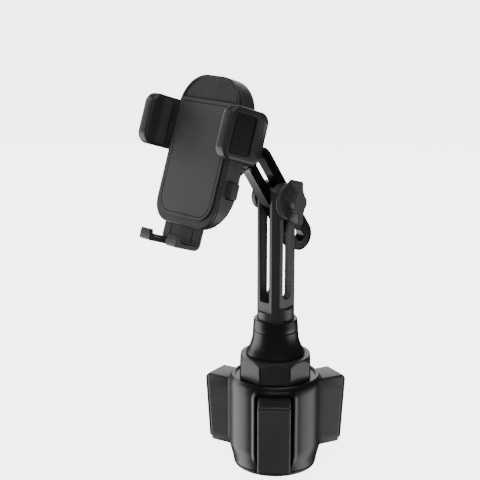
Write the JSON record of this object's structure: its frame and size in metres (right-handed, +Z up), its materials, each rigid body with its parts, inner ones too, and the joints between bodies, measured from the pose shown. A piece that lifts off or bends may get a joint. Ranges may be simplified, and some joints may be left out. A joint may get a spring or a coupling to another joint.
{
  "type": "car phone mount",
  "caption": "Cup-holder phone mount: expanding winged base with adjusting nut, forked post, slotted tilting arm with knob, ball joint and a cradle with geared side clamps.",
  "frame": {"origin": "centre of the base's flat underside", "axes": "+Z up along the post, -Y the way the cradle faces, +X the side of the clamping knob"},
  "size_m": [0.1044, 0.1708, 0.3035],
  "materials": {
    "gloss_black": "glossy moulded black plastic",
    "satin_black": "satin moulded black plastic",
    "rubber_black": "matte dark grey rubber",
    "steel": "plain zinc-plated steel",
    "brass": "turned brass",
    "nylon": "natural nylon"
  },
  "bodies": {
    "base": {"base_shell": "gloss_black", "bottom_cover": "satin_black", "cover_screw_1": "steel", "cover_screw_2": "steel", "cover_screw_3": "steel", "centre_column": "steel", "neck_washer": "steel", "neck_nut": "steel"},
    "nut": {"adjusting_nut": "gloss_black", "cam_disc": "steel"},
    "neck": {"neck_cone": "gloss_black", "collar_ring": "gloss_black", "post": "satin_black"},
    "carriage": {"clamp_bolt": "steel", "bolt_cap": "satin_black", "washer_left": "satin_black", "washer_right": "satin_black"},
    "knob": {"knob": "satin_black", "knob_insert": "brass"},
    "guide": {"slot_guide": "satin_black"},
    "arm": {"arm": "gloss_black", "ball_stud": "steel"},
    "socket_rear": {"liner_rear": "nylon"},
    "socket_front": {"liner_front": "nylon"},
    "cradle": {"rear_casing": "satin_black", "front_plate": "satin_black", "front_pad": "rubber_black", "case_screw_1": "steel", "case_screw_2": "steel", "case_screw_3": "steel", "case_screw_4": "steel", "pinion_pin": "steel"},
    "ring": {"ring_nut": "satin_black"},
    "clamp_left": {"clamp_left": "satin_black", "pad_left": "rubber_black", "panel_left": "gloss_black"},
    "clamp_right": {"clamp_right": "satin_black", "pad_right": "rubber_black", "panel_right": "gloss_black"},
    "pinion": {"pinion": "nylon"},
    "button_left": {"release_button_left": "satin_black", "button_spring_left": "steel"},
    "button_right": {"release_button_right": "satin_black", "button_spring_right": "steel"},
    "foot": {"foot": "satin_black", "foot_pad_left": "rubber_black", "foot_pad_right": "rubber_black"},
    "wing_1": {"wing_1": "satin_black", "wing_pad_1": "rubber_black", "wing_pin_1": "steel"},
    "wing_2": {"wing_2": "satin_black", "wing_pad_2": "rubber_black", "wing_pin_2": "steel"},
    "wing_3": {"wing_3": "satin_black", "wing_pad_3": "rubber_black", "wing_pin_3": "steel"}
  },
  "joints": [
    {"name": "nut_turn", "type": "hinge", "parent": "base", "child": "nut", "pos_m": [0, 0, 0.08], "axis": [0, 0, 1], "range_deg": [-110, 0]},
    {"name": "wing_1_slide", "type": "slide", "parent": "base", "child": "wing_1", "axis": [0.7071, -0.7071, 0], "range_m": [-0.01705, 0.00005]},
    {"name": "wing_2_slide", "type": "slide", "parent": "base", "child": "wing_2", "axis": [0.2588, 0.9659, 0], "range_m": [-0.01705, 0.00005]},
    {"name": "wing_3_slide", "type": "slide", "parent": "base", "child": "wing_3", "axis": [-0.9659, -0.2588, 0], "range_m": [-0.01705, 0.00005]},
    {"name": "neck_swivel", "type": "hinge", "parent": "base", "child": "neck", "pos_m": [0, 0, 0.09], "axis": [0, 0, 1], "continuous": true},
    {"name": "bolt_height", "type": "slide", "parent": "neck", "child": "carriage", "axis": [0, 0, 1], "range_m": [-0.036, 0]},
    {"name": "knob_turn", "type": "hinge", "parent": "carriage", "child": "knob", "pos_m": [0.0195, 0, 0.2085], "axis": [1, 0, 0], "range_deg": [0, 360]},
    {"name": "arm_tilt", "type": "hinge", "parent": "carriage", "child": "guide", "pos_m": [0, 0, 0.2085], "axis": [1, 0, 0], "range_deg": [-100, 60]},
    {"name": "arm_reach", "type": "slide", "parent": "guide", "child": "arm", "axis": [0, -0.5664, 0.8241], "range_m": [-0.016, 0.03]},
    {"name": "ball_turn", "type": "hinge", "parent": "arm", "child": "socket_rear", "pos_m": [0, -0.04956, 0.24776], "axis": [0, 0.95, -0.3123], "continuous": true},
    {"name": "ball_tilt", "type": "hinge", "parent": "socket_rear", "child": "socket_front", "pos_m": [0, -0.04956, 0.24776], "axis": [1, 0, 0], "range_deg": [-15, 15]},
    {"name": "ball_pan", "type": "hinge", "parent": "socket_front", "child": "cradle", "pos_m": [0, -0.04956, 0.24776], "axis": [0, 0.3123, 0.95], "range_deg": [-15, 15]},
    {"name": "ring_turn", "type": "hinge", "parent": "cradle", "child": "ring", "pos_m": [0, -0.04956, 0.24776], "axis": [0, 0.95, -0.3123], "range_deg": [0, 180]},
    {"name": "clamp_right_slide", "type": "slide", "parent": "cradle", "child": "clamp_right", "axis": [1, 0, 0], "range_m": [-0.0075, 0.009]},
    {"name": "clamp_left_slide", "type": "slide", "parent": "cradle", "child": "clamp_left", "axis": [-1, 0, 0], "range_m": [-0.00755, 0.00905]},
    {"name": "pinion_turn", "type": "hinge", "parent": "cradle", "child": "pinion", "pos_m": [0, -0.06684, 0.2666], "axis": [0, 0.95, -0.3123], "range_deg": [-86.5, 72.5]},
    {"name": "button_left_press", "type": "slide", "parent": "cradle", "child": "button_left", "axis": [-1, 0, 0], "range_m": [-0.0022, 0], "stiffness_N_per_m": 400, "springref_m": 0.002},
    {"name": "button_right_press", "type": "slide", "parent": "cradle", "child": "button_right", "axis": [1, 0, 0], "range_m": [-0.0022, 0], "stiffness_N_per_m": 400, "springref_m": 0.002},
    {"name": "foot_slide", "type": "slide", "parent": "cradle", "child": "foot", "axis": [0, 0.3123, 0.95], "range_m": [-0.015, 0.008]}
  ],
  "couplings": [
    {"joint": "wing_1_slide", "follows": "nut_turn", "m_per_rad": 0.0088548},
    {"joint": "wing_2_slide", "follows": "nut_turn", "m_per_rad": 0.0088548},
    {"joint": "wing_3_slide", "follows": "nut_turn", "m_per_rad": 0.0088548},
    {"joint": "clamp_left_slide", "follows": "clamp_right_slide", "ratio": 1},
    {"joint": "pinion_turn", "follows": "clamp_right_slide", "rad_per_m": -166.67}
  ]
}
